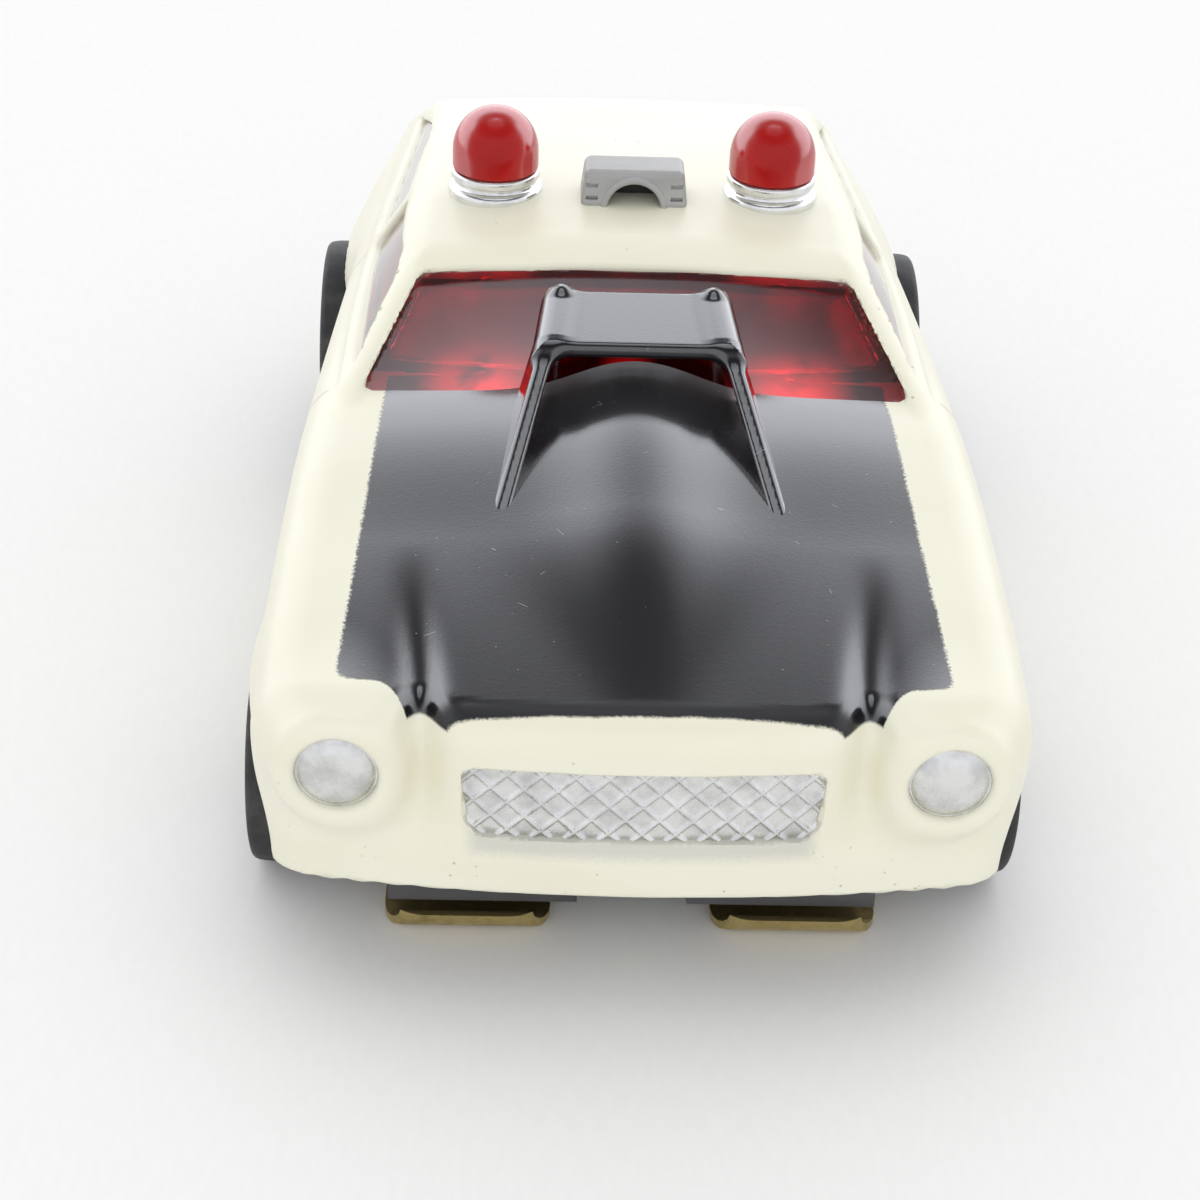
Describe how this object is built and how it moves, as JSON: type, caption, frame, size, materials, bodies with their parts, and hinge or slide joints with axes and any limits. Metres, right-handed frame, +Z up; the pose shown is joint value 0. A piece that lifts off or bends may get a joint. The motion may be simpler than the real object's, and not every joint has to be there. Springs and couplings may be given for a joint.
{
  "type": "toy police car",
  "caption": "Small slot-racing police wagon: ivory shell with black hood, red windows, roof beacons and siren, on a geared motor chassis with sprung pickup shoes.",
  "frame": {"origin": "on the track, under the middle of the car's box", "axes": "+Y towards the tail, so the car faces -Y; +Z up; +X to the viewer's right when the nose faces them"},
  "size_m": [0.0324, 0.0616, 0.0248],
  "materials": {
    "shell_ivory": "moulded ivory plastic with a sprayed black hood panel",
    "red_clear": "clear red plastic",
    "silver_trim": "silvered plastic",
    "beacon_red": "clear red plastic, deep in the dome",
    "siren_grey": "grey plastic",
    "chassis_grey": "dark grey moulded plastic",
    "plate_grey": "light grey moulded plastic",
    "steel": "drawn steel",
    "ferrite": "dull ferrite",
    "carbon": "pressed carbon",
    "copper": "copper",
    "brass": "dull brass",
    "nylon": "white nylon",
    "rim_silver": "silvered plastic",
    "tyre_black": "black rubber"
  },
  "bodies": {
    "chassis": {"chassis_frame": "chassis_grey", "gear_plate": "plate_grey", "gear_plate_clip": "steel", "magnet_front": "ferrite", "magnet_rear": "ferrite", "brush_left": "carbon", "brush_right": "carbon", "contact_strip_left": "copper", "contact_strip_right": "copper", "shoe_spring_left": "steel", "shoe_spring_right": "steel"},
    "shell": {"body_shell": "shell_ivory", "window_glass": "red_clear", "grille": "silver_trim", "headlight_left": "silver_trim", "headlight_right": "silver_trim", "beacon_base_left": "silver_trim", "beacon_base_right": "silver_trim", "beacon_dome_left": "beacon_red", "beacon_dome_right": "beacon_red", "siren": "siren_grey"},
    "front_wheels": {"front_axle": "steel", "front_rim_left": "rim_silver", "front_rim_right": "rim_silver", "front_tyre_left": "tyre_black", "front_tyre_right": "tyre_black"},
    "rear_wheels": {"rear_axle": "steel", "crown_gear": "brass", "rear_rim_left": "rim_silver", "rear_rim_right": "rim_silver", "rear_tyre_left": "tyre_black", "rear_tyre_right": "tyre_black"},
    "drive": {"drive_gear": "nylon", "drive_pinion": "brass"},
    "idler": {"idler_gear": "nylon"},
    "armature": {"armature_core": "steel", "armature_windings": "copper", "commutator": "copper", "armature_shaft": "steel", "armature_pinion": "brass"},
    "shoe_left": {"pickup_shoe_left": "brass"},
    "shoe_right": {"pickup_shoe_right": "brass"}
  },
  "joints": [
    {"name": "shell_lift", "type": "slide", "parent": "chassis", "child": "shell", "axis": [0, 0, 1], "range_m": [0, 0.03]},
    {"name": "front_spin", "type": "hinge", "parent": "chassis", "child": "front_wheels", "pos_m": [0, -0.0195, 0.0046], "axis": [1, 0, 0], "continuous": true},
    {"name": "rear_spin", "type": "hinge", "parent": "chassis", "child": "rear_wheels", "pos_m": [0, 0.0171, 0.0058], "axis": [1, 0, 0], "continuous": true},
    {"name": "drive_spin", "type": "hinge", "parent": "chassis", "child": "drive", "pos_m": [0, 0.0171, 0.0058], "axis": [0, 0, 1], "continuous": true},
    {"name": "idler_spin", "type": "hinge", "parent": "chassis", "child": "idler", "pos_m": [0, 0.0079, 0.0115], "axis": [0, 0, 1], "continuous": true},
    {"name": "armature_spin", "type": "hinge", "parent": "chassis", "child": "armature", "pos_m": [0, 0.0003, 0.006], "axis": [0, 0, 1], "continuous": true},
    {"name": "shoe_left_pivot", "type": "hinge", "parent": "chassis", "child": "shoe_left", "pos_m": [-0.0069, -0.0084, 0.00195], "axis": [-1, 0, 0], "range_deg": [0, 2.5], "stiffness_Nm_per_rad": 0.0014, "springref_deg": -17.19, "deforming": ["shoe_spring_left"]},
    {"name": "shoe_right_pivot", "type": "hinge", "parent": "chassis", "child": "shoe_right", "pos_m": [0.0069, -0.0084, 0.00195], "axis": [-1, 0, 0], "range_deg": [0, 2.5], "stiffness_Nm_per_rad": 0.0014, "springref_deg": -17.19, "deforming": ["shoe_spring_right"]}
  ],
  "couplings": [
    {"joint": "drive_spin", "follows": "rear_spin", "ratio": -1.875},
    {"joint": "idler_spin", "follows": "rear_spin", "ratio": 1.7188},
    {"joint": "armature_spin", "follows": "rear_spin", "ratio": -2.9464}
  ]
}
